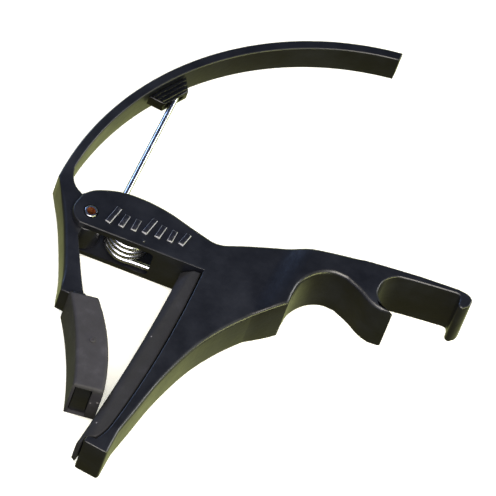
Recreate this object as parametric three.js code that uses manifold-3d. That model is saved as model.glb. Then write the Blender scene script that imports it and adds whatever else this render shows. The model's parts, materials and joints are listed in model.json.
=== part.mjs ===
// A spring-loaded trigger capo for a steel-string guitar, lying on its side.
// Units are millimetres and +Z is up. While it is built, the hinge pin's axis is
// X = Y = 0 and the mid-plane of every piece is Z = 0; the last lines set the
// finished capo on the floor, with the centre of its footprint at the origin.
// The jaw bar points along -Y and the finger grip along +X.
import * as THREE from "three";
import { mergeVertices } from "three/addons/utils/BufferGeometryUtils.js";
import Module from "manifold-3d";

// Widths across the capo, along Z.
const GRIP_WIDTH = 16;
const WEB_WIDTH = 13.2;
const BAR_TIP_WIDTH = 12.6;
const SLOT_WIDTH = 9.6;
const LEVER_WIDTH = 8.8;
const TONGUE_WIDTH = 11.2;
const SLEEVE_WIDTH = 13.6;
const PAD_BACK_WIDTH = 12;
const PAD_CONTACT_WIDTH = 7.4;
const SHOE_WIDTH = 3.4;

// Driving dimensions in the side view, along X and Y.
const FIT_GAP = 0.3;
const EAR_RADIUS = 4.4;
const KNUCKLE_RADIUS = 4.1;
const SLOT_END = 18.2;
const PAD_CONTACT_X = 25.7;
const FLARE_START = 44.5;
const FLARE_END = 51;
const BAR_TAPER_START = -14;
const BAR_END = -57.5;

// The hinge pin is a slotted spring pin, rolled from strip.
const PIN_RADIUS = 1.6;
const PIN_WALL = 0.55;
const PIN_SLOT = 0.7;
const PIN_HOLE_RADIUS = PIN_RADIUS + 0.25;

// The lever's squeeze arm is a circular band.
const ARM_CENTRE = new THREE.Vector2(65.8, 10.7);
const ARM_OUTER_RADIUS = 77.4;
const ARM_INNER_RADIUS = 75;
const ARM_TIP_ANGLE = 106.5;
const ARM_HEEL_ANGLE = 183.4;

// The torsion spring: a coil round an axle, with one leg up to the arm and one
// leg along the floor of the slot.
const WIRE_RADIUS = 0.75;
const COIL_CENTRE = new THREE.Vector2(10.2, 3.7);
const COIL_RADIUS = 5.2;
const COIL_TOP = 2.9;
const COIL_BOTTOM = -3.4;
const COIL_TURNS = 3.25;
const UPPER_LEG_END = new THREE.Vector3(2.3, 44.5, 1.5);
const LOWER_LEG_END = 20;
const LOWER_LEG_RISE = 0.178;
const AXLE_RADIUS = 2.6;
const AXLE_HOLE_DEPTH = 1.1;

// The shoe slides on the arm's inner face, this far round its circle.
const SHOE_ANGLE = 153.1;
const SHOE_GAP = 0.35;
const SHOE_HEIGHT = 4.2;
const SOCKET_RADIUS = 1.05;
const SOCKET_STRETCH = 1.5;
const SOCKET_PLAY = 1;
const SOCKET_DEPTH = 4;

const SIDES_OF_WIRE = 8;
const STEPS_PER_TURN = 20;

const wasm = await Module();
wasm.setup();

const RAD = Math.PI / 180;

// A closed three.js geometry as a manifold-3d solid.
function solid(geometry) {
  const bare = geometry.clone();
  bare.deleteAttribute("normal");
  bare.deleteAttribute("uv");
  const merged = mergeVertices(bare, 1e-4);
  return new wasm.Manifold(
    new wasm.Mesh({
      numProp: 3,
      vertProperties: merged.attributes.position.array,
      triVerts: new Uint32Array(merged.index.array),
    }),
  );
}

// A manifold-3d solid as a three.js geometry.
function geometryOf(body) {
  const mesh = body.getMesh();
  const geometry = new THREE.BufferGeometry();
  geometry.setAttribute("position", new THREE.BufferAttribute(mesh.vertProperties, 3));
  geometry.setIndex(new THREE.BufferAttribute(mesh.triVerts, 1));
  geometry.computeVertexNormals();
  return geometry;
}

function material(color, roughness, metalness) {
  return new THREE.MeshStandardMaterial({ color, roughness, metalness });
}

const blackEnamel = () => material(0x1c1e2c, 0.4, 0.1);
const charcoalRubber = () => material(0x3a383e, 0.85, 0);
const springSteel = () => material(0xd8dce0, 0.2, 1);
const blackedSteel = () => material(0x2b2b2e, 0.4, 1);
const blackNylon = () => material(0x0b0b0d, 0.2, 0);

function piece(name, body, finish) {
  const mesh = new THREE.Mesh(geometryOf(body), finish);
  mesh.name = name;
  return mesh;
}

// A side-view outline given its width across the capo, from z = low to z = high.
function plate(shape, low, high, curveSegments = 10) {
  const geometry = new THREE.ExtrudeGeometry(shape, {
    depth: high - low,
    bevelEnabled: false,
    curveSegments,
  });
  return solid(geometry.translate(0, 0, low));
}

const slab = (shape, width) => plate(shape, -width / 2, width / 2);

function polygon(points) {
  return new THREE.Shape(points.map(([x, y]) => new THREE.Vector2(x, y)));
}

function disc(radius, width, x = 0, y = 0, segments = 40) {
  const geometry = new THREE.CylinderGeometry(radius, radius, width, segments);
  return solid(geometry.rotateX(Math.PI / 2).translate(x, y, 0));
}

// A bar of the given section in Y and Z that runs right along the capo.
function alongX(points) {
  const shape = polygon(points.map(([y, z]) => [-z, y]));
  const geometry = new THREE.ExtrudeGeometry(shape, { depth: 160, bevelEnabled: false });
  return solid(geometry.rotateY(Math.PI / 2).translate(-40, 0, 0));
}

// A bar of the given section in X and Z that runs right down the capo.
function alongY(points) {
  const shape = polygon(points);
  const geometry = new THREE.ExtrudeGeometry(shape, { depth: 200, bevelEnabled: false });
  return solid(geometry.rotateX(Math.PI / 2).translate(0, 100, 0));
}

function spline(shape, points) {
  shape.splineThru(points.map(([x, y]) => new THREE.Vector2(x, y)));
}

// The side view of the casting: hinge ear, web, jaw bar and finger grip.
function bodyOutline() {
  const s = new THREE.Shape();
  s.absarc(0, 0, EAR_RADIUS, 175 * RAD, 258 * RAD);
  s.lineTo(30.5, 0.5);
  s.quadraticCurveTo(33, -26, 30.9, -50);
  s.quadraticCurveTo(30.6, -53, 29.4, -55.2);
  s.lineTo(27.3, -55.8);
  s.lineTo(27.1, BAR_END);
  s.lineTo(33.5, BAR_END);
  // the back of the jaw bar, swelling into the web
  spline(s, [[33.2, -50.5], [34.1, -43.5], [35.6, -32], [38.4, -20.3], [42, -11.7], [46.2, -4.4]]);
  s.lineTo(52.4, 2.7);
  // first finger groove, from its spur to the spur between the grooves
  s.lineTo(51.9, 5.6);
  spline(s, [[52.1, 9.6], [54.3, 13.8], [57.6, 16.3], [61, 16.8], [65, 15.6], [69, 13.9], [72, 13.4]]);
  s.lineTo(74.9, 14);
  // second finger groove and the grip's hooked end
  s.lineTo(74.7, 14.6);
  spline(s, [[71.6, 15.3], [69.3, 17.8], [69.1, 21], [71, 23.7], [74, 24.9], [80, 26.5], [85.6, 27.9]]);
  s.lineTo(86.8, 27.6);
  s.lineTo(87.3, 25.6);
  s.quadraticCurveTo(87.9, 24.4, 88.9, 25);
  spline(s, [[89.9, 26.4], [89.8, 28.4], [88.2, 29.4], [85.6, 29.4]]);
  // the top of the grip, the neck behind the ear and the top of the ear
  spline(s, [[76.1, 27.5], [67.3, 25.3], [58.7, 22.9], [50.3, 20], [44.7, 17.3], [37.4, 13.3], [32.6, 10.4]]);
  s.quadraticCurveTo(30.8, 9.1, 28.4, 9.1);
  spline(s, [[22.8, 9.8], [15.8, 10.7], [9.3, 10.5], [3.4, 9.2], [-1.8, 6.4], [-4, 3.6]]);
  return s;
}

// Seen from above, the web is narrower than the finger grip and flares into it.
function flareSection() {
  const web = WEB_WIDTH / 2;
  const grip = GRIP_WIDTH / 2;
  const side = [[-30, web], [FLARE_START, web], [FLARE_END, grip], [110, grip]];
  const other = side.map(([x, z]) => [x, -z]).reverse();
  return [...other, ...side];
}

// Seen from its end, the jaw bar narrows a little towards its tip.
function taperSection() {
  const grip = GRIP_WIDTH / 2;
  const web = WEB_WIDTH / 2;
  const tip = BAR_TIP_WIDTH / 2;
  const side = [[60, grip], [-6, grip], [BAR_TAPER_START, web], [BAR_END - 1, tip]];
  const other = side.map(([y, z]) => [y, -z]).reverse();
  return [...side, ...other];
}

function slotSolid() {
  const s = new THREE.Shape();
  const corner = 1.5;
  const half = SLOT_WIDTH / 2;
  s.moveTo(-20, -half);
  s.lineTo(SLOT_END - corner, -half);
  s.quadraticCurveTo(SLOT_END, -half, SLOT_END, -half + corner);
  s.lineTo(SLOT_END, half - corner);
  s.quadraticCurveTo(SLOT_END, half, SLOT_END - corner, half);
  s.lineTo(-20, half);
  const geometry = new THREE.ExtrudeGeometry(s, { depth: 40, bevelEnabled: false, curveSegments: 5 });
  return solid(geometry.rotateX(Math.PI / 2).translate(0, 20, 0));
}

function lowerLegY(x) {
  return COIL_CENTRE.y - COIL_RADIUS + LOWER_LEG_RISE * Math.max(0, x - COIL_CENTRE.x);
}

function bodyCasting() {
  const rear = -WEB_WIDTH / 2;
  const axleHoleEnd = SLOT_WIDTH / 2 + AXLE_HOLE_DEPTH;
  const axleHole = disc(AXLE_RADIUS + FIT_GAP, axleHoleEnd - rear, COIL_CENTRE.x, COIL_CENTRE.y)
    .translate([0, 0, (axleHoleEnd + rear) / 2]);
  const legHole = solid(
    new THREE.CylinderGeometry(WIRE_RADIUS + FIT_GAP, WIRE_RADIUS + FIT_GAP, 6, 16)
      .rotateZ(-Math.PI / 2 + Math.atan(LOWER_LEG_RISE))
      .translate(SLOT_END, lowerLegY(SLOT_END), COIL_BOTTOM),
  );
  return slab(bodyOutline(), GRIP_WIDTH)
    .intersect(alongY(flareSection()))
    .intersect(alongX(taperSection()))
    .subtract(slotSolid())
    .subtract(disc(PIN_HOLE_RADIUS, GRIP_WIDTH + 2))
    .subtract(axleHole)
    .subtract(legHole);
}

// A rubber strip in the hollow of the jaw bar. Its face is curved like a radiused
// fretboard, its section narrows to that face, and its end shows past the bar's lip.
function fretboardPad() {
  const s = new THREE.Shape();
  s.moveTo(PAD_CONTACT_X, -1.2);
  s.quadraticCurveTo(27.5, -27, PAD_CONTACT_X, BAR_END + 0.2);
  s.lineTo(26.7, BAR_END + 0.2);
  s.lineTo(26.9, -55.3);
  s.lineTo(29.1, -54.7);
  s.quadraticCurveTo(30.3, -52.6, 30.6, -50);
  s.quadraticCurveTo(32.7, -26, 30.2, -0.1);
  const back = PAD_BACK_WIDTH / 2;
  const contact = PAD_CONTACT_WIDTH / 2;
  const section = [[33, -back], [33, back], [28.5, back], [PAD_CONTACT_X, contact]];
  const lower = [[PAD_CONTACT_X, -contact], [28.5, -back]];
  return slab(s, PAD_BACK_WIDTH).intersect(alongY([...section, ...lower]));
}

// A tube with a slot along it, open towards the grip.
function hingePin() {
  const outer = disc(PIN_RADIUS, WEB_WIDTH);
  const bore = disc(PIN_RADIUS - PIN_WALL, WEB_WIDTH + 2, 0, 0, 28);
  const slot = new THREE.BoxGeometry(2 * PIN_RADIUS, PIN_SLOT, WEB_WIDTH + 2);
  slot.translate(PIN_RADIUS, 0, 0);
  return outer.subtract(bore).subtract(solid(slot));
}

function springAxle() {
  const rear = -WEB_WIDTH / 2;
  const front = SLOT_WIDTH / 2 + AXLE_HOLE_DEPTH - FIT_GAP;
  const body = disc(AXLE_RADIUS, front - rear, COIL_CENTRE.x, COIL_CENTRE.y);
  return body.translate([0, 0, (front + rear) / 2]);
}

function wire(points, steps) {
  const path = new THREE.CatmullRomCurve3(points);
  const ring = new THREE.Shape();
  ring.absarc(0, 0, WIRE_RADIUS, 0, 2 * Math.PI);
  const geometry = new THREE.ExtrudeGeometry(ring, {
    steps,
    extrudePath: path,
    curveSegments: SIDES_OF_WIRE,
  });
  return solid(geometry);
}

// The coil starts under the upper leg, on its side nearest the hinge, and winds
// down to the lower leg, which runs along the belly into the slot's end wall.
function springCoil() {
  const points = [];
  const last = COIL_TURNS * STEPS_PER_TURN;
  for (let i = 0; i <= last; i++) {
    const angle = Math.PI + (i / STEPS_PER_TURN) * 2 * Math.PI;
    points.push(
      new THREE.Vector3(
        COIL_CENTRE.x + COIL_RADIUS * Math.cos(angle),
        COIL_CENTRE.y + COIL_RADIUS * Math.sin(angle),
        THREE.MathUtils.lerp(COIL_TOP, COIL_BOTTOM, i / last),
      ),
    );
  }
  const legStart = COIL_CENTRE.x + 1.5;
  const legSteps = 4;
  for (let i = 0; i <= legSteps; i++) {
    const x = THREE.MathUtils.lerp(legStart, LOWER_LEG_END, i / legSteps);
    points.push(new THREE.Vector3(x, lowerLegY(x), COIL_BOTTOM));
  }
  return wire(points, points.length - 1);
}

function springUpperLeg() {
  const start = new THREE.Vector3(COIL_CENTRE.x - COIL_RADIUS, COIL_CENTRE.y + FIT_GAP, COIL_TOP);
  const straight = start.clone().lerp(UPPER_LEG_END, 0.2);
  return wire([start, straight, UPPER_LEG_END], 6);
}

// The sleeve bows towards the jaw bar. s runs across it, 0 on its outer face and
// 1 on the face that meets the neck; t runs down it, 0 at its top.
const sleeveOuter = new THREE.QuadraticBezierCurve(
  new THREE.Vector2(5.7, -22.6),
  new THREE.Vector2(13.5, -32.7),
  new THREE.Vector2(18.1, -45.4),
);
const sleeveContact = new THREE.QuadraticBezierCurve(
  new THREE.Vector2(12.4, -20.4),
  new THREE.Vector2(21.9, -30),
  new THREE.Vector2(25.4, -43.4),
);
const TONGUE_OUTER_FACE = 0.13;
const TONGUE_INNER_FACE = 0.62;
const POCKET_MARGIN = 0.04;

function sleevePoint(s, t) {
  return sleeveOuter.getPoint(t).lerp(sleeveContact.getPoint(t), s);
}

function sleeveStrip(s0, s1, t0, t1) {
  const points = [];
  const steps = 14;
  for (let i = 0; i <= steps; i++) points.push(sleevePoint(s0, t0 + ((t1 - t0) * i) / steps));
  for (let i = steps; i >= 0; i--) points.push(sleevePoint(s1, t0 + ((t1 - t0) * i) / steps));
  return new THREE.Shape(points);
}

function neckSleeve() {
  const pocketWidth = TONGUE_WIDTH + 2 * FIT_GAP;
  const s0 = TONGUE_OUTER_FACE - POCKET_MARGIN;
  const s1 = TONGUE_INNER_FACE + POCKET_MARGIN;
  const pocket = slab(sleeveStrip(s0, s1, -0.1, 1.1), pocketWidth);
  return slab(sleeveStrip(0, 1, 0, 1), SLEEVE_WIDTH).subtract(pocket);
}

// The squeeze arm, the knuckle round the hinge pin and the leg down to the sleeve.
function leverOutline() {
  const s = new THREE.Shape();
  const { x, y } = ARM_CENTRE;
  s.absarc(x, y, ARM_OUTER_RADIUS, ARM_TIP_ANGLE * RAD, ARM_HEEL_ANGLE * RAD);
  spline(s, [[-8, 0.9], [-4.4, -5.1], [0.6, -14.8], [3.4, -22.1]]);
  s.lineTo(6.4, -22.1);
  s.lineTo(9.8, -21);
  s.lineTo(8.8, -20.2);
  spline(s, [[7, -17.6], [4.6, -13.7], [2.1, -9.5], [0.2, -6.3]]);
  s.lineTo(0, -KNUCKLE_RADIUS);
  s.absarc(0, 0, KNUCKLE_RADIUS, -90 * RAD, 115 * RAD);
  s.lineTo(-4.9, 5);
  s.quadraticCurveTo(-8, 6, -9, 10);
  s.absarc(x, y, ARM_INNER_RADIUS, 180.5 * RAD, (ARM_TIP_ANGLE + 0.4) * RAD, true);
  return s;
}

function leverCasting() {
  const arm = slab(leverOutline(), LEVER_WIDTH);
  const tongue = slab(
    sleeveStrip(TONGUE_OUTER_FACE, TONGUE_INNER_FACE, -0.04, 0.98),
    TONGUE_WIDTH,
  );
  return arm.add(tongue).subtract(disc(PIN_HOLE_RADIUS, LEVER_WIDTH + 2));
}

// A nylon shoe on the end of the upper leg. Its base slides along the arm, and its
// back takes the wire in an oval socket that lets it tilt.
function springShoe() {
  const s = new THREE.Shape();
  const end = SHOE_GAP + 0.22;
  s.moveTo(-5.75, end);
  s.quadraticCurveTo(0, SHOE_GAP - 0.22, 5.75, end);
  s.lineTo(3.7, SHOE_HEIGHT);
  s.lineTo(-3.75, SHOE_HEIGHT);
  const turn = SHOE_ANGLE * RAD;
  const body = slab(s, SHOE_WIDTH)
    .mirror([0, 1, 0])
    .rotate([0, 0, SHOE_ANGLE - 90])
    .translate([
      ARM_CENTRE.x + ARM_INNER_RADIUS * Math.cos(turn),
      ARM_CENTRE.y + ARM_INNER_RADIUS * Math.sin(turn),
      UPPER_LEG_END.z,
    ]);
  const socket = new THREE.CylinderGeometry(SOCKET_RADIUS, SOCKET_RADIUS, 4 * SOCKET_DEPTH, 16);
  socket.scale(SOCKET_STRETCH, 1, 1);
  socket.translate(UPPER_LEG_END.x, UPPER_LEG_END.y + SOCKET_PLAY - 2 * SOCKET_DEPTH, UPPER_LEG_END.z);
  return body.subtract(solid(socket));
}

function group(...children) {
  const made = new THREE.Group();
  made.add(...children);
  return made;
}

const frame = group(
  piece("body_casting", bodyCasting(), blackEnamel()),
  piece("fretboard_pad", fretboardPad(), charcoalRubber()),
  piece("hinge_pin", hingePin(), springSteel()),
  piece("spring_axle", springAxle(), blackedSteel()),
  piece("spring_coil", springCoil(), springSteel()),
);
const lever = group(
  piece("lever_casting", leverCasting(), blackEnamel()),
  piece("neck_sleeve", neckSleeve(), charcoalRubber()),
);
const springLeg = group(
  piece("spring_upper_leg", springUpperLeg(), springSteel()),
  piece("spring_shoe", springShoe(), blackNylon()),
);

// Set down on its side, centred on the origin.
const assembly = group(frame, lever, springLeg);
const box = new THREE.Box3().setFromObject(assembly);
const middle = box.getCenter(new THREE.Vector3());
assembly.position.set(-middle.x, -middle.y, -box.min.z);

export default group(assembly);
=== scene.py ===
import json
import math

import bmesh
import bpy
from mathutils import Matrix, Quaternion, Vector


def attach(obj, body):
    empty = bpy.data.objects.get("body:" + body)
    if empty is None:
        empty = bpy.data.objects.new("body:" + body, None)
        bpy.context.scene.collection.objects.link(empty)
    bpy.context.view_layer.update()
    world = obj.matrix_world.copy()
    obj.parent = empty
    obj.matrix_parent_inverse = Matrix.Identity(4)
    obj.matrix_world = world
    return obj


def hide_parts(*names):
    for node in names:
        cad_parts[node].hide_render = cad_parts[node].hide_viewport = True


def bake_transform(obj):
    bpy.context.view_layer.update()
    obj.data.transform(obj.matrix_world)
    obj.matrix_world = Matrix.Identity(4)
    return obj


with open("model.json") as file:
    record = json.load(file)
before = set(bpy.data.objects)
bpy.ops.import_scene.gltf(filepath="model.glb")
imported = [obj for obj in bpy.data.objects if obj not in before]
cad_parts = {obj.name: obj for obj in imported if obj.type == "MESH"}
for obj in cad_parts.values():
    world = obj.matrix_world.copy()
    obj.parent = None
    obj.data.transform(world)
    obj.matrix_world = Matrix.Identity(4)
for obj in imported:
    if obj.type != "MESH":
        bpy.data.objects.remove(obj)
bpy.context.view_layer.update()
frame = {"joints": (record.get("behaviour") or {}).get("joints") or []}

MM = 0.001
joint_places = {joint["name"]: Vector(joint["pos_m"]) for joint in frame["joints"]}
hinge_place = joint_places["lever_hinge"]


def at(x, y, z=0.0):
    """A place given in millimetres from the middle of the hinge pin."""
    return hinge_place + Vector((x, y, z)) * MM


# ---- Camera
# A long lens over the jaw's side, rolled so that the grip runs downhill to the right.
CAMERA_AZIMUTH = math.radians(8.1)
CAMERA_ELEVATION = math.radians(56.5)
CAMERA_ROLL = math.radians(21.5)
CAMERA_DISTANCE = 2.0
FRAMED_WIDTH = 0.1194

camera_data = bpy.data.cameras.new("camera")
camera = bpy.data.objects.new("camera", camera_data)
bpy.context.scene.collection.objects.link(camera)
bpy.context.scene.camera = camera
towards_camera = Vector(
    (
        math.sin(CAMERA_AZIMUTH) * math.cos(CAMERA_ELEVATION),
        -math.cos(CAMERA_AZIMUTH) * math.cos(CAMERA_ELEVATION),
        math.sin(CAMERA_ELEVATION),
    )
)
level = (-towards_camera).to_track_quat("-Z", "Y")
camera.rotation_mode = "QUATERNION"
camera.rotation_quaternion = level @ Quaternion((0, 0, 1), CAMERA_ROLL)
camera.location = at(36.17, 16.9) + towards_camera * CAMERA_DISTANCE
camera_data.sensor_width = 36
camera_data.lens = 36 * CAMERA_DISTANCE / FRAMED_WIDTH
camera_data.shift_x = -0.002
camera_data.shift_y = -0.004
camera_data.clip_start = 0.01


# ---- Body casting
# One alloy die-casting: two hinge cheeks with the spring's slot between them, the web,
# the jaw bar and the finger grip. Its edges are rounded by the die and thick enamel.
GRIP_HALF = 8.0
WEB_HALF = 6.6
BAR_TIP_HALF = 6.3
BAR_END = -57.5
EAR_RADIUS = 4.4
SLOT_HALF = 4.8
SLOT_END = 18.2
PIN_HOLE_RADIUS = 1.85
COIL_CENTRE = Vector((10.2, 3.7))
COIL_RADIUS = 5.2
AXLE_RADIUS = 2.6


def arc(x, y, radius, start, end, steps):
    """Places round a circle, from one angle in degrees to another."""
    angles = [math.radians(start + (end - start) * i / steps) for i in range(steps + 1)]
    return [Vector((x + radius * math.cos(a), y + radius * math.sin(a))) for a in angles]


def bend(start, pull, end, steps=12):
    """Places along a curve that leaves start towards pull and comes to end."""
    a, b, c = Vector(start), Vector(pull), Vector(end)
    return [a.lerp(b, i / steps).lerp(b.lerp(c, i / steps), i / steps) for i in range(steps + 1)]


def through(points, step=0.7):
    """Places every step or so along a smooth curve that passes through the points."""
    p = [Vector(point) for point in points]
    p = [2 * p[0] - p[1], *p, 2 * p[-1] - p[-2]]
    places = []
    for i in range(1, len(p) - 2):
        parts = max(2, round((p[i + 1] - p[i]).length / step))
        for k in range(parts):
            t = k / parts
            run = (p[i + 1] - p[i - 1]) * t
            sag = (2 * p[i - 1] - 5 * p[i] + 4 * p[i + 1] - p[i + 2]) * t * t
            turn = (3 * p[i] - p[i - 1] - 3 * p[i + 1] + p[i + 2]) * t**3
            places.append((2 * p[i] + run + sag + turn) / 2)
    return places + [p[-2]]


def plate(outline, half_width):
    """A side-view outline given its width across the capo, as a closed bmesh."""
    bm = bmesh.new()
    corners = []
    for place in outline:
        if not corners or (at(*place, -half_width) - corners[-1].co).length > 0.05 * MM:
            corners.append(bm.verts.new(at(*place, -half_width)))
    if (corners[0].co - corners[-1].co).length < 0.05 * MM:
        bm.verts.remove(corners.pop())
    face = bm.faces.new(corners)
    raised = bmesh.ops.extrude_face_region(bm, geom=[face])["geom"]
    raised = [part for part in raised if isinstance(part, bmesh.types.BMVert)]
    bmesh.ops.translate(bm, vec=(0, 0, 2 * half_width * MM), verts=raised)
    bmesh.ops.recalc_face_normals(bm, faces=bm.faces)
    return bm


def rounded_plate(outline, half_width, width_at, segments=5):
    """A plate whose front and rear rims are rounded by a width that may change gradually.

    It is laid ring by ring, because a bevel whose width changes leaves spikes on fine curves.
    """
    places = []
    for place in outline:
        if not places or (place - places[-1]).length > 0.05:
            places.append(place.copy())
    if (places[0] - places[-1]).length < 0.05:
        places.pop()
    count = len(places)
    turned = sum(places[i - 1].cross(places[i]) for i in range(count))
    if turned < 0:
        places.reverse()
    inwards, widths, limits = [], [], []
    for i in range(count):
        before = places[i] - places[i - 1]
        after = places[(i + 1) % count] - places[i]
        bend_here = max(0.0, math.atan2(before.cross(after), before.dot(after)))
        limits.append(9 if bend_here < 0.02 else 0.7 * min(before.length, after.length) / bend_here)
        if bend_here > 0.9:
            limits[-1] = 9
        before.normalize()
        after.normalize()
        side = Vector((-before.y - after.y, before.x + after.x)).normalized()
        inwards.append(side / max(0.6, side.dot(Vector((-before.y, before.x)))))
        widths.append(min(limits[i], width_at(places[i])))
    for _ in range(10):
        widths = [
            min(widths[i], (widths[i - 1] + widths[i] + widths[(i + 1) % count]) / 3 + 0.01)
            for i in range(count)
        ]
    bm = bmesh.new()
    rings = []
    for front in (1, -1):
        turns = range(segments, -1, -1) if front == 1 else range(segments + 1)
        for k in turns:
            angle = math.pi / 2 * k / segments
            ring = []
            for place, inward, width in zip(places, inwards, widths):
                inset = place + inward * width * (1 - math.cos(angle))
                z = front * (half_width - width * (1 - math.sin(angle)))
                ring.append(bm.verts.new(at(*inset, z)))
            rings.append(ring)
    bm.faces.new(rings[0])
    bm.faces.new(list(reversed(rings[-1])))
    for upper, lower in zip(rings, rings[1:]):
        for i in range(count):
            k = (i + 1) % count
            bm.faces.new((upper[k], upper[i], lower[i], lower[k]))
    bm.normal_update()
    return bm


def into_object(bm, name):
    for face in bm.faces:
        face.smooth = True
    mesh = bpy.data.meshes.new(name)
    bm.to_mesh(mesh)
    bm.free()
    made = bpy.data.objects.new(name, mesh)
    bpy.context.scene.collection.objects.link(made)
    return made


def settled(made, sharp=40):
    """Applies an object's modifiers and marks the edges that stay crisp."""
    bpy.context.view_layer.update()
    finished = made.evaluated_get(bpy.context.evaluated_depsgraph_get())
    made.data = bpy.data.meshes.new_from_object(finished)
    made.modifiers.clear()
    made.data.shade_smooth()
    made.data.set_sharp_from_angle(angle=math.radians(sharp))
    return made


def rim_rounded(bm, name, width_at, segments=4):
    """An object whose side-view outline is rounded, front and rear, by width_at(place)."""
    weights = bm.edges.layers.float.new("bevel_weight_edge")
    widths = {}
    for edge in bm.edges:
        tilts = sorted(abs(face.normal.z) for face in edge.link_faces)
        if tilts[0] < 0.6 and tilts[1] > 0.7:
            middle = (edge.verts[0].co + edge.verts[1].co) / 2
            widths[edge] = width_at((middle - hinge_place) / MM)
    widest = max(widths.values())
    for edge, width in widths.items():
        edge[weights] = width / widest
    made = into_object(bm, name)
    rounding = made.modifiers.new("rim", "BEVEL")
    rounding.width = widest * MM
    rounding.limit_method = "WEIGHT"
    rounding.segments = segments
    rounding.use_clamp_overlap = False
    return settled(made)


def cut(made, bm, operation="DIFFERENCE"):
    """Takes the space that bm fills out of an object, or joins it on."""
    cutter = into_object(bm, "cutter")
    boolean = made.modifiers.new("cut", "BOOLEAN")
    boolean.operation = operation
    boolean.solver = "MANIFOLD"
    boolean.object = cutter
    settled(made)
    bpy.data.objects.remove(cutter)


def rod(radius, low, high, x=0.0, y=0.0, segments=48):
    """A closed round bar along the hinge's direction, from z = low to z = high."""
    bm = bmesh.new()
    bmesh.ops.create_cone(
        bm,
        cap_ends=True,
        segments=segments,
        radius1=radius * MM,
        radius2=radius * MM,
        depth=(high - low) * MM,
        matrix=Matrix.Translation(at(x, y, (low + high) / 2)),
    )
    return bm


def flat_face_normals(made):
    """Flat front and rear faces keep their own direction right up to the rounded rim."""
    mesh = made.data
    normals = [Vector(corner.vector) for corner in mesh.corner_normals]
    flat_at = {}
    for face in mesh.polygons:
        if abs(face.normal.z) > 0.9995:
            for vert in face.vertices:
                flat_at[vert, face.normal.z > 0] = face.normal.copy()
    for face in mesh.polygons:
        if abs(face.normal.z) > 0.75:
            for corner, vert in zip(face.loop_indices, face.vertices):
                normals[corner] = flat_at.get((vert, face.normal.z > 0), normals[corner])
    mesh.normals_split_custom_set(normals)


def dress(made, *materials):
    """Gives an object these materials and no others."""
    made.data.materials.clear()
    for material in materials:
        made.data.materials.append(material)


body_outline = [
    *arc(0, 0, EAR_RADIUS, 175, 258, 14),
    *bend((30.5, 0.5), (33, -26), (30.9, -50), 30),
    *bend((30.9, -50), (30.6, -53), (29.4, -55.2), 6),
    Vector((27.3, -55.8)),
    *bend((27.15, -56.8), (27.1, BAR_END), (27.9, BAR_END), 4),
    *bend((32.6, BAR_END), (33.4, BAR_END), (33.4, -56.6), 4),
    *through([(33.2, -50.5), (34.1, -43.5), (35.6, -32), (38.4, -20.3), (42, -11.7), (46.2, -4.4)]),
    Vector((52.2, 2.7)),
    *through([(51.9, 5.6), (52.1, 9.6), (54.3, 13.8), (57.6, 16.3), (61, 16.8)]),
    *through([(61, 16.8), (65, 15.6), (69, 13.9), (72, 13.4)]),
    Vector((74.9, 14.2)),
    *through(
        [(71.6, 15.3), (69.3, 17.8), (69.1, 21), (71, 23.7), (74, 24.9), (80, 26.5), (85.6, 27.9)]
    ),
    *bend((86.4, 27.9), (87.1, 27.4), (87.3, 25.9), 4),
    *bend((87.3, 25.6), (87.9, 24.4), (88.9, 25), 5),
    *through([(88.9, 25), (89.9, 26.4), (89.8, 28.4), (88.2, 29.4), (85.6, 29.4)], 0.5),
    *through(
        [
            *[(76.1, 27.5), (67.3, 25.3), (58.7, 22.9), (50.3, 20)],
            *[(44.7, 17.3), (37.4, 13.3), (32.6, 10.4)],
        ]
    ),
    *bend((32.6, 10.4), (30.8, 9.1), (28.4, 9.1), 8),
    *through([(22.8, 9.8), (15.8, 10.7), (9.3, 10.5), (3.4, 9.2), (-1.8, 6.4), (-4, 3.6)]),
]


def body_half_width(x, y):
    """The web is narrower than the grip, and the jaw bar narrows towards its tip."""
    t = min(1, max(0, (x - 44.5) / 6.5))
    flare = WEB_HALF + (GRIP_HALF - WEB_HALF) * t * t * (3 - 2 * t)
    if y < -14:
        return min(flare, WEB_HALF + (BAR_TIP_HALF - WEB_HALF) * (-14 - y) / 42.5)
    if y < -6:
        return min(flare, WEB_HALF + (GRIP_HALF - WEB_HALF) * (y + 14) / 8)
    return flare


def body_rim(place):
    if 26 < place.x < 33.2 and place.y < 1:
        return 0.3
    if place.y < 1.2 and place.x < 31:
        return 0.45
    if place.x > 62 and place.y > 19:
        return 0.5
    return 1.0


bm = rounded_plate(body_outline, GRIP_HALF, body_rim)
for x in (44.5, 46, 47.75, 49.5, 51):
    everything = [*bm.verts, *bm.edges, *bm.faces]
    bmesh.ops.bisect_plane(bm, geom=everything, plane_co=at(x, 0), plane_no=(1, 0, 0))
for y in (-14, -6):
    everything = [*bm.verts, *bm.edges, *bm.faces]
    bmesh.ops.bisect_plane(bm, geom=everything, plane_co=at(0, y), plane_no=(0, 1, 0))
for vert in bm.verts:
    x, y, z = (vert.co - hinge_place) / MM
    half = body_half_width(x, y) - (GRIP_HALF - abs(z))
    vert.co.z = hinge_place.z + math.copysign(half, z) * MM
bm.normal_update()
body = into_object(bm, "enamelled_body")

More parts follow.
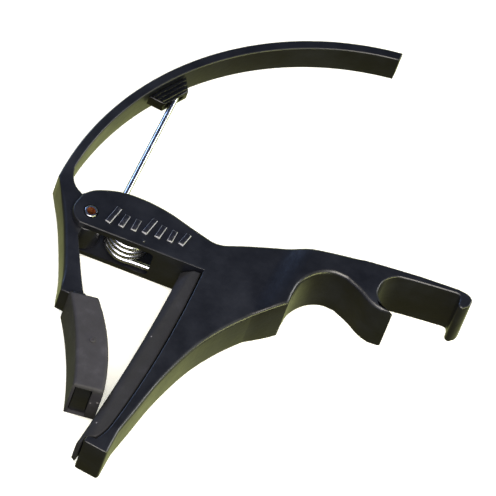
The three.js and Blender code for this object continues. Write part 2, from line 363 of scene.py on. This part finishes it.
slot_outline = [
    Vector((-20, -SLOT_HALF)),
    *bend((SLOT_END - 1.5, -SLOT_HALF), (SLOT_END, -SLOT_HALF), (SLOT_END, 1.5 - SLOT_HALF), 6),
    *bend((SLOT_END, SLOT_HALF - 1.5), (SLOT_END, SLOT_HALF), (SLOT_END - 1.5, SLOT_HALF), 6),
    Vector((-20, SLOT_HALF)),
]
bm = plate(slot_outline, 20)
bmesh.ops.rotate(bm, verts=bm.verts, cent=at(0, 0), matrix=Matrix.Rotation(math.pi / 2, 3, "X"))
cut(body, bm)
cut(body, rod(PIN_HOLE_RADIUS, -9, 9))
cut(body, rod(AXLE_RADIUS + 0.3, -9, 5.9, *COIL_CENTRE))
LOWER_LEG_RISE = 0.178
LOWER_LEG_Z = -3.4
leg_hole = rod(1.05, -3, 3, segments=24)
bmesh.ops.rotate(
    leg_hole,
    verts=leg_hole.verts,
    cent=at(0, 0),
    matrix=Matrix.Rotation(math.atan(LOWER_LEG_RISE), 3, "Z")
    @ Matrix.Rotation(math.pi / 2, 3, "Y"),
)
bmesh.ops.translate(
    leg_hole,
    verts=leg_hole.verts,
    vec=Vector((SLOT_END, COIL_CENTRE.y - COIL_RADIUS + LOWER_LEG_RISE * 8, LOWER_LEG_Z)) * MM,
)
cut(body, leg_hole)
flat_face_normals(body)


def linear(hex_colour):
    """An sRGB hex colour as the linear numbers that a shader takes."""
    values = [int(hex_colour[i : i + 2], 16) / 255 for i in (1, 3, 5)]
    return [v / 12.92 if v <= 0.04045 else ((v + 0.055) / 1.055) ** 2.4 for v in values] + [1]


def add(tree, kind, settings=None, links=None, **attributes):
    """Adds a node with its attributes, the values of its sockets and what feeds them."""
    node = tree.nodes.new("ShaderNode" + kind)
    for name, value in attributes.items():
        setattr(node, name, value)
    for socket, value in (settings or {}).items():
        node.inputs[socket].default_value = value
    for socket, source in (links or {}).items():
        tree.links.new(source, node.inputs[socket])
    return node


def new_material(name):
    material = bpy.data.materials.new(name)
    material.use_nodes = True
    material.node_tree.nodes.clear()
    return material, material.node_tree


def finish_material(tree, shader):
    add(tree, "OutputMaterial", links={"Surface": shader.outputs[0]})


def shades(tree, factor, stops):
    """A colour ramp with its stops given as (position, sRGB hex)."""
    ramp = add(tree, "ValToRGB", links={"Fac": factor})
    while len(ramp.color_ramp.elements) < len(stops):
        ramp.color_ramp.elements.new(0.5)
    for element, (position, colour) in zip(ramp.color_ramp.elements, stops):
        element.position = position
        element.color = linear(colour)
    return ramp


# Baked enamel, sprayed: satin blue-black, with orange peel about 1.2 mm across, a fine
# grit of 0.3 mm, and faint greasy and dusty patches some 9 mm wide from handling.
enamel, tree = new_material("baked_enamel")
place = add(tree, "TexCoord").outputs["Object"]
peel = add(tree, "TexNoise", {"Scale": 800, "Detail": 2}, {"Vector": place})
grit = add(tree, "TexNoise", {"Scale": 3300, "Detail": 3}, {"Vector": place})
patches = add(tree, "TexNoise", {"Scale": 110, "Detail": 5, "Roughness": 0.6}, {"Vector": place})
colour = shades(
    tree, patches.outputs["Fac"], [(0.35, "#090a10"), (0.6, "#0f1119"), (0.8, "#161821")]
)
gloss = add(
    tree,
    "MapRange",
    {"From Min": 0.3, "From Max": 0.75, "To Min": 0.34, "To Max": 0.5},
    {"Value": patches.outputs["Fac"]},
)
wavy = add(
    tree, "Bump", {"Strength": 0.16, "Distance": 0.0003}, {"Height": peel.outputs["Fac"]}
)
rough = add(
    tree,
    "Bump",
    {"Strength": 0.12, "Distance": 0.0001},
    {"Height": grit.outputs["Fac"], "Normal": wavy.outputs["Normal"]},
)
paint = add(
    tree,
    "BsdfPrincipled",
    {"IOR": 1.52, "Coat Weight": 0.25, "Coat Roughness": 0.22},
    {
        "Base Color": colour.outputs["Color"],
        "Roughness": gloss.outputs["Result"],
        "Normal": rough.outputs["Normal"],
    },
)
finish_material(tree, paint)
dress(body, enamel)
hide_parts("body_casting")
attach(body, "frame")


# ---- Cheek bars
# A row of slanted bars cast proud of the front cheek, a plain pattern. Hands have
# rubbed the enamel in scuffs, and their rounded edges are painted grey as a highlight.
BAR_WIDTH = 1.35
BAR_PITCH = 2.95
BAR_START = 5.1
BAR_HEIGHTS = (5.2, 3.7, 3.4, 5.0, 3.8, 3.4, 3.7)
bm = bmesh.new()
for i, height in enumerate(BAR_HEIGHTS):
    x = BAR_START + BAR_PITCH * i
    y = -0.6 + 0.235 * (x - BAR_START) + height / 2
    size = Matrix.Diagonal((BAR_WIDTH * MM, height * MM, 0.9 * MM, 1))
    lean = Matrix.Rotation(math.radians(-8 + 5 * (i % 3)), 4, "Z")
    bmesh.ops.create_cube(bm, size=1, matrix=Matrix.Translation(at(x, y, WEB_HALF)) @ lean @ size)
top_edges = [
    edge for edge in bm.edges if all(v.co.z > hinge_place.z + WEB_HALF * MM for v in edge.verts)
]
bmesh.ops.bevel(
    bm, geom=top_edges, offset=0.32 * MM, affect="EDGES", segments=3, profile=0.5, material=-1
)
bars = into_object(bm, "cheek_bars")
bars.data.set_sharp_from_angle(angle=math.radians(60))

# The same enamel, rubbed: dark on the flat tops, with scuffs about 1.1 mm long, and grey
# round the edges as a painted highlight.
rubbed_and_sheened, tree = new_material("rubbed_enamel_and_edge_sheen")
place = add(tree, "TexCoord").outputs["Object"]
scuffs = add(tree, "TexNoise", {"Scale": 900, "Detail": 6, "Roughness": 0.7}, {"Vector": place})
facing = add(tree, "SeparateXYZ", links={"Vector": add(tree, "NewGeometry").outputs["Normal"]})
# Painted highlight: the further a face tilts from flat, as on the rounded edges, the greyer it is.
rounded = add(
    tree,
    "MapRange",
    {"From Min": 0.98, "From Max": 0.55, "To Min": 0.0, "To Max": 0.5},
    {"Value": facing.outputs["Z"]},
)
# Scuff wear added to the painted edge highlight.
wear_and_edge_sheen = add(
    tree, "Math", links={0: scuffs.outputs["Fac"], 1: rounded.outputs["Result"]}, operation="ADD"
)
colour = shades(tree, wear_and_edge_sheen.outputs[0], [(0.5, "#12131b"), (0.75, "#3a3b45"), (0.95, "#a2a3ab")])
finish_material(
    tree,
    add(
        tree,
        "BsdfPrincipled",
        {"IOR": 1.52, "Roughness": 0.36},
        {"Base Color": colour.outputs["Color"]},
    ),
)
dress(bars, rubbed_and_sheened)
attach(bars, "frame")


# ---- Enamel drop
# A drop of the sprayed enamel that ran and set on the front cheek, above its lower
# edge. It is the same enamel as the casting's.
bm = bmesh.new()
bmesh.ops.create_uvsphere(
    bm,
    u_segments=24,
    v_segments=12,
    radius=0.42 * MM,
    matrix=Matrix.Translation(at(14.5, -0.45, WEB_HALF)) @ Matrix.Diagonal((1, 1, 0.7, 1)),
)
drop = into_object(bm, "enamel_drop")
dress(drop, enamel)
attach(drop, "frame")


# ---- Squeeze lever
# A second casting: a thin curved arm, the knuckle on the hinge pin, and a leg with
# broad chamfers that ends in the sleeve's tongue.
LEVER_HALF = 4.4
TONGUE_HALF = 5.6
KNUCKLE_RADIUS = 4.1
ARM_X, ARM_Y = 65.8, 10.7
ARM_OUTER_RADIUS = 77.4
ARM_INNER_RADIUS = 75.0

lever_outline = [
    *arc(ARM_X, ARM_Y, ARM_OUTER_RADIUS, 106.0, 183.4, 110),
    *through([(-10.2, 4.3), (-8, 0.9), (-4.4, -5.1), (0.6, -14.8), (3.4, -22.1)], 0.9),
    Vector((6.4, -22.1)),
    Vector((9.8, -21)),
    *through([(8.8, -20.2), (7, -17.6), (4.6, -13.7), (2.1, -9.5), (0.2, -6.3)], 0.9),
    *arc(0, 0, KNUCKLE_RADIUS, -90, 115, 30),
    *bend((-4.9, 5), (-8, 6), (-9, 10), 8),
    *arc(ARM_X, ARM_Y, ARM_INNER_RADIUS, 180.3, 106.4, 104),
]


def lever_rim(place):
    return 1.1 if -20 < place.y < 2 and place.x < -2 - place.y * 0.28 else 0.4


lever = into_object(rounded_plate(lever_outline, LEVER_HALF, lever_rim), "enamelled_lever")
cut(lever, rod(PIN_HOLE_RADIUS, -9, 9))
flat_face_normals(lever)
dress(lever, enamel)
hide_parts("lever_casting")
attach(lever, "lever")

sleeve_outer = ((5.7, -22.6), (13.5, -32.7), (18.1, -45.4))
sleeve_contact = ((12.4, -20.4), (21.9, -30), (25.4, -43.4))


def across_sleeve(s, t):
    """A place s of the way across the sleeve and t of the way down it."""
    ends = []
    for a, b, c in (sleeve_outer, sleeve_contact):
        a, b, c = Vector(a), Vector(b), Vector(c)
        ends.append(a * (1 - t) ** 2 + b * 2 * t * (1 - t) + c * t * t)
    return ends[0].lerp(ends[1], s)


def sleeve_strip(s0, s1, t0, t1, steps=20):
    down = [across_sleeve(s0, t0 + (t1 - t0) * i / steps) for i in range(steps + 1)]
    up = [across_sleeve(s1, t1 + (t0 - t1) * i / steps) for i in range(steps + 1)]
    return down + up


# The tongue at the leg's end, of one casting with the lever, fills the sleeve.
tongue = rim_rounded(
    plate(sleeve_strip(0.13, 0.62, -0.04, 0.98), TONGUE_HALF), "sleeve_tongue", lambda place: 0.5
)
dress(tongue, enamel)
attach(tongue, "lever")


# ---- Neck sleeve
# A moulded rubber tube pulled over the tongue, where the lever bears on the neck.
SLEEVE_HALF = 6.8
sleeve = rim_rounded(
    plate(sleeve_strip(0, 1, 0, 1), SLEEVE_HALF), "rubber_sleeve", lambda place: 0.9
)
cut(sleeve, plate(sleeve_strip(0.09, 0.66, -0.1, 1.1), TONGUE_HALF + 0.3))
flat_face_normals(sleeve)


def moulded_rubber(name, shade_stops):
    """Carbon-filled rubber: matte, with a sanded grain of about 0.5 mm, pale bloom in
    patches 5 mm wide, and here and there a speck of dust."""
    material, tree = new_material(name)
    place = add(tree, "TexCoord").outputs["Object"]
    grain = add(tree, "TexNoise", {"Scale": 2000, "Detail": 4, "Roughness": 0.6}, {"Vector": place})
    bloom = add(tree, "TexNoise", {"Scale": 190, "Detail": 6, "Roughness": 0.65}, {"Vector": place})
    dust = add(tree, "TexVoronoi", {"Scale": 420}, {"Vector": place})
    base = shades(tree, bloom.outputs["Fac"], shade_stops)
    specks = shades(tree, dust.outputs["Distance"], [(0.07, "#ffffff"), (0.12, "#000000")])
    chosen = shades(tree, dust.outputs["Color"], [(0.62, "#000000"), (0.64, "#ffffff")])
    mask = {0: specks.outputs["Color"], 1: chosen.outputs["Color"]}
    dusty = add(tree, "Math", links=mask, operation="MULTIPLY")
    dusted = add(
        tree,
        "Mix",
        {"B": linear("#8a888c")},
        {"Factor": dusty.outputs[0], "A": base.outputs["Color"]},
        data_type="RGBA",
    )
    grained = add(
        tree, "Bump", {"Strength": 0.35, "Distance": 0.00015}, {"Height": grain.outputs["Fac"]}
    )
    shader = add(
        tree,
        "BsdfPrincipled",
        {"IOR": 1.5, "Roughness": 0.72},
        {"Base Color": dusted.outputs["Result"], "Normal": grained.outputs["Normal"]},
    )
    finish_material(tree, shader)
    return material


rubber = moulded_rubber("sleeve_rubber", [(0.3, "#222125"), (0.55, "#2b2a2f"), (0.8, "#3d3c42")])
dress(sleeve, rubber)
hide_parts("neck_sleeve")
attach(sleeve, "lever")


# ---- Sleeve nub
# A small ringed nub that the mould's vent left on the front of the sleeve. It is of
# the sleeve's own rubber.
nub = rim_rounded(rod(0.75, 6.6, 7.15, 16.5, -32, 32), "sleeve_nub", lambda place: 0.2)
cut(nub, rod(0.3, 7.0, 7.4, 16.5, -32, 24))
dress(nub, rubber)
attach(nub, "lever")


# ---- Fretboard pad
# A rubber strip glued in the hollow of the jaw bar. It narrows to its curved face.
pad_outline = [
    *bend((25.7, -1.2), (27.5, -27), (25.7, -57.3), 36),
    Vector((26.7, -57.3)),
    Vector((26.9, -55.3)),
    Vector((29.1, -54.7)),
    *bend((29.1, -54.7), (30.3, -52.6), (30.6, -50), 6),
    *bend((30.6, -50), (32.7, -26), (30.2, -0.1), 30),
]
PAD_BACK_HALF = 6.0
PAD_FACE_HALF = 3.7
bm = plate(pad_outline, PAD_BACK_HALF)
everything = [*bm.verts, *bm.edges, *bm.faces]
bmesh.ops.bisect_plane(bm, geom=everything, plane_co=at(28.5, 0), plane_no=(1, 0, 0))
for vert in bm.verts:
    x, _, z = (vert.co - hinge_place) / MM
    half = PAD_FACE_HALF + (PAD_BACK_HALF - PAD_FACE_HALF) * min(1, (x - 25.7) / 2.8)
    vert.co.z = hinge_place.z + math.copysign(half, z) * MM
bm.normal_update()
pad = rim_rounded(bm, "rubber_pad", lambda place: 0.45)
flat_face_normals(pad)
dress(
    pad, moulded_rubber("pad_rubber", [(0.3, "#101013"), (0.55, "#16161a"), (0.8, "#25252a")])
)
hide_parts("fretboard_pad")
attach(pad, "frame")


# ---- Hinge pin
# A slotted spring pin rolled from steel strip and driven through both cheeks. Its bore
# still has the coppery colour of the drawing lubricant.
PIN_RADIUS = 1.6
PIN_WALL = 0.55
pin = rim_rounded(rod(PIN_RADIUS, -6.75, 6.75), "roll_pin", lambda place: 0.22)
cut(pin, rod(PIN_RADIUS - PIN_WALL, -8, 8))
strip_gap = [Vector(p) for p in ((0.5, -0.35), (2.5, -0.35), (2.5, 0.35), (0.5, 0.35))]
cut(pin, plate(strip_gap, 8))

# Drawn and ground steel: bright, with hairline scratches 0.4 mm apart that vary the
# gloss, and a dull tarnish in patches of 2.6 mm.
bright, tree = new_material("bright_steel")
place = add(tree, "TexCoord").outputs["Object"]
scratches = add(tree, "TexNoise", {"Scale": 2600, "Detail": 5}, {"Vector": place})
tarnish = add(tree, "TexNoise", {"Scale": 380, "Detail": 4}, {"Vector": place})
colour = shades(tree, tarnish.outputs["Fac"], [(0.3, "#aeb0b4"), (0.65, "#dcdee2")])
gloss = add(
    tree,
    "MapRange",
    {"To Min": 0.16, "To Max": 0.34},
    {"Value": scratches.outputs["Fac"]},
)
finish_material(
    tree,
    add(
        tree,
        "BsdfPrincipled",
        {"Metallic": 1.0},
        {"Base Color": colour.outputs["Color"], "Roughness": gloss.outputs["Result"]},
    ),
)
# The thin coppery flash in the bore, blotched every 0.7 mm.
copper, tree = new_material("copper_flash")
place = add(tree, "TexCoord").outputs["Object"]
stain = add(tree, "TexNoise", {"Scale": 1500, "Detail": 4}, {"Vector": place})
colour = shades(tree, stain.outputs["Fac"], [(0.35, "#8f4c28"), (0.7, "#e0945c")])
finish_material(
    tree,
    add(
        tree,
        "BsdfPrincipled",
        {"Metallic": 1.0, "Roughness": 0.6},
        {"Base Color": colour.outputs["Color"]},
    ),
)
dress(pin, bright, copper)
for polygon in pin.data.polygons:
    radius = ((polygon.center - hinge_place) / MM).xy.length
    polygon.material_index = 1 if radius < PIN_RADIUS - 0.4 and abs(polygon.normal.z) < 0.5 else 0
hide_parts("hinge_pin")
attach(pin, "frame")


# ---- Spring axle
# A blacked steel stud pressed in from the rear cheek, which the coil turns on.
axle = rim_rounded(rod(AXLE_RADIUS, -6.7, 5.6, *COIL_CENTRE), "coil_axle", lambda place: 0.3)
# Black oxide on steel: dark and half matt, mottled every 1.4 mm.
blacked, tree = new_material("blacked_steel")
place = add(tree, "TexCoord").outputs["Object"]
mottle = add(tree, "TexNoise", {"Scale": 700, "Detail": 4}, {"Vector": place})
colour = shades(tree, mottle.outputs["Fac"], [(0.35, "#1b1b1d"), (0.7, "#38373a")])
finish_material(
    tree,
    add(
        tree,
        "BsdfPrincipled",
        {"Metallic": 1.0, "Roughness": 0.42},
        {"Base Color": colour.outputs["Color"]},
    ),
)
dress(axle, blacked)
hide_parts("spring_axle")
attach(axle, "frame")


# ---- Torsion spring
# One length of bright 1.5 mm spring wire: a leg down from the shoe, three and a quarter
# turns round the axle, and a leg along the belly into the web.
WIRE_RADIUS = 0.75
COIL_TOP, COIL_BOTTOM = 2.9, LOWER_LEG_Z
COIL_TURNS = 3.25
UPPER_LEG_END = Vector((2.3, 44.5, 1.5))
leg_foot = Vector((COIL_CENTRE.x - COIL_RADIUS, COIL_CENTRE.y, COIL_TOP))
wire_path = [UPPER_LEG_END.lerp(leg_foot, i / 12) for i in range(12)]
turn_steps = round(COIL_TURNS * 40)
for i in range(turn_steps + 1):
    angle = math.pi + 2 * math.pi * COIL_TURNS * i / turn_steps
    x = COIL_CENTRE.x + COIL_RADIUS * math.cos(angle)
    y = COIL_CENTRE.y + COIL_RADIUS * math.sin(angle)
    wire_path.append(Vector((x, y, COIL_TOP + (COIL_BOTTOM - COIL_TOP) * i / turn_steps)))
for x in (11.2, 12.2, 13.5, 15, 17, 20):
    rise = LOWER_LEG_RISE * (x - COIL_CENTRE.x) * min(1, (x - COIL_CENTRE.x) / 3)
    wire_path.append(Vector((x, COIL_CENTRE.y - COIL_RADIUS + rise, COIL_BOTTOM)))
line = bpy.data.curves.new("wire_line", "CURVE")
line.dimensions = "3D"
line.bevel_depth = WIRE_RADIUS * MM
line.bevel_resolution = 5
line.use_fill_caps = True
spline = line.splines.new("POLY")
spline.points.add(len(wire_path) - 1)
for point, place in zip(spline.points, wire_path):
    point.co = (*at(*place), 1)
line_object = bpy.data.objects.new("wire_line", line)
bpy.context.scene.collection.objects.link(line_object)
bm = bmesh.new()
bpy.context.view_layer.update()
bm.from_mesh(line_object.to_mesh())
line_object.to_mesh_clear()
bpy.data.objects.remove(line_object)
bmesh.ops.remove_doubles(bm, verts=bm.verts, dist=0.01 * MM)
spring = into_object(bm, "torsion_spring")
spring.data.set_sharp_from_angle(angle=math.radians(50))
dress(spring, bright)
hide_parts("spring_coil", "spring_upper_leg")
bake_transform(spring)


# ---- Spring shoe
# A moulded nylon block on the end of the wire, which slides along the inside of the
# arm. Its sides have lengthwise ribs, and its back an oval socket for the wire.
SHOE_ANGLE = math.radians(153.1)
SHOE_HALF = 1.7
outwards = Vector((math.cos(SHOE_ANGLE), math.sin(SHOE_ANGLE)))
along_arm = Vector((outwards.y, -outwards.x))
shoe_seat = Vector((ARM_X, ARM_Y)) + outwards * ARM_INNER_RADIUS


def on_shoe(along, inwards):
    return shoe_seat + along_arm * along - outwards * inwards


def lifted(bm, z):
    bmesh.ops.translate(bm, verts=bm.verts, vec=(0, 0, z * MM))
    return bm


base = [on_shoe(x, 0.35 + 0.22 * (x / 5.75) ** 2) for x in (-5.75, -3, 0, 3, 5.75)]
shoe_outline = base + [on_shoe(3.7, 4.2), on_shoe(-3.75, 4.2)]
shoe = rim_rounded(
    lifted(plate(shoe_outline, SHOE_HALF), UPPER_LEG_END.z), "nylon_shoe", lambda place: 0.22
)
RIB_RADIUS = 0.42
for inwards, half_length in ((1.15, 4.9), (2.2, 4.35), (3.25, 3.75)):
    for side in (-1, 1):
        rib = rod(RIB_RADIUS, -half_length, half_length, segments=20)
        lie = Matrix.Rotation(math.pi / 2, 3, "Y")
        turn = Matrix.Rotation(math.atan2(along_arm.y, along_arm.x), 3, "Z")
        bmesh.ops.rotate(rib, verts=rib.verts, cent=at(0, 0), matrix=turn @ lie)
        place = on_shoe(0, inwards)
        move = Vector((place.x, place.y, UPPER_LEG_END.z + side * SHOE_HALF)) * MM
        bmesh.ops.translate(rib, verts=rib.verts, vec=move)
        cut(shoe, rib, "UNION")
SOCKET_RADIUS = 1.05
SOCKET_STRETCH = 1.5
socket = rod(SOCKET_RADIUS, -4, 4, segments=32)
bmesh.ops.rotate(
    socket, verts=socket.verts, cent=at(0, 0), matrix=Matrix.Rotation(math.pi / 2, 3, "X")
)
bmesh.ops.scale(
    socket,
    vec=(SOCKET_STRETCH, 1, 1),
    verts=socket.verts,
    space=Matrix.Translation(-at(0, 0)),
)
bmesh.ops.translate(
    socket, verts=socket.verts, vec=(UPPER_LEG_END - Vector((0, 3, 0))) * MM
)
cut(shoe, socket)
flat_face_normals(shoe)
# Black nylon from a polished mould: glossy, with flow marks of 2 mm.
nylon, tree = new_material("black_nylon")
place = add(tree, "TexCoord").outputs["Object"]
flow = add(tree, "TexNoise", {"Scale": 500, "Detail": 3}, {"Vector": place})
colour = shades(tree, flow.outputs["Fac"], [(0.3, "#060607"), (0.7, "#101012")])
finish_material(
    tree,
    add(
        tree,
        "BsdfPrincipled",
        {"IOR": 1.53, "Roughness": 0.14},
        {"Base Color": colour.outputs["Color"]},
    ),
)
dress(shoe, nylon)
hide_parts("spring_shoe")
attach(shoe, "spring_shoe")


# ---- Stage
# A pale paper floor, lit from below as on a light table, which the capo doesn't mirror.
# A high key light, lamps for the edges and the wire, dim sky above and olive ground below.
bm = bmesh.new()
bmesh.ops.create_grid(bm, x_segments=1, y_segments=1, size=1.5)
floor = into_object(bm, "floor")

paper, tree = new_material("studio_paper")
place = add(tree, "TexCoord").outputs["Object"]
pulp = add(tree, "TexNoise", {"Scale": 40, "Detail": 3}, {"Vector": place})
colour = shades(tree, pulp.outputs["Fac"], [(0.3, "#f3f2ea"), (0.7, "#f7f6ee")])
finish_material(
    tree,
    add(
        tree,
        "BsdfPrincipled",
        {"Roughness": 0.9, "Emission Strength": 0.5},
        {"Base Color": colour.outputs["Color"], "Emission Color": colour.outputs["Color"]},
    ),
)
dress(floor, paper)
floor.visible_glossy = False
floor.visible_diffuse = False
floor.visible_shadow = False


def softbox(name, place, aim, width, height, power, colour):
    lamp_data = bpy.data.lights.new(name, "AREA")
    lamp_data.shape = "RECTANGLE"
    lamp_data.size = width
    lamp_data.size_y = height
    lamp_data.energy = power
    lamp_data.color = linear(colour)[:3]
    lamp = bpy.data.objects.new(name, lamp_data)
    bpy.context.scene.collection.objects.link(lamp)
    lamp.location = place
    direction = Vector(aim) - Vector(place)
    lamp.rotation_euler = direction.to_track_quat("-Z", "Y").to_euler()


softbox("key", (0.1, -0.45, 0.75), (0, 0, 0), 0.55, 0.55, 13, "#fff8ec")
softbox("edge_strip", (0.0, -0.65, 0.42), (0, 0, 0), 0.9, 0.05, 1.4, "#dcd8f0")
softbox("grass_side", (0.6, -0.2, 0.1), (0, 0, 0), 0.5, 0.16, 3.6, "#e6e8a0")
softbox("right_glint", (0.75, 0.5, 0.36), (0, 0, 0), 0.4, 0.3, 4.5, "#ffffff")
softbox("left_glint", (-0.75, 0.5, 0.36), (0, 0, 0), 0.4, 0.2, 2.4, "#a8c4ff")

world = bpy.data.worlds.new("studio")
world.use_nodes = True
tree = world.node_tree
heading = add(tree, "SeparateXYZ", links={"Vector": add(tree, "TexCoord").outputs["Generated"]})
beyond = add(
    tree, "MapRange", {"From Min": -0.4, "From Max": 0.5}, {"Value": heading.outputs["Y"]}
)
ground = shades(
    tree, beyond.outputs["Result"], [(0.0, "#5f5c30"), (0.45, "#6a6742"), (1.0, "#dfe69c")]
)
rise = add(tree, "MapRange", {"From Min": -0.1, "From Max": 0.35}, {"Value": heading.outputs["Z"]})
surroundings = add(
    tree,
    "Mix",
    {"B": linear("#36435c")},
    {"Factor": rise.outputs["Result"], "A": ground.outputs["Color"]},
    data_type="RGBA",
)
tree.links.new(surroundings.outputs["Result"], tree.nodes["Background"].inputs["Color"])
bpy.context.scene.world = world
bpy.context.scene.view_settings.view_transform = "Standard"
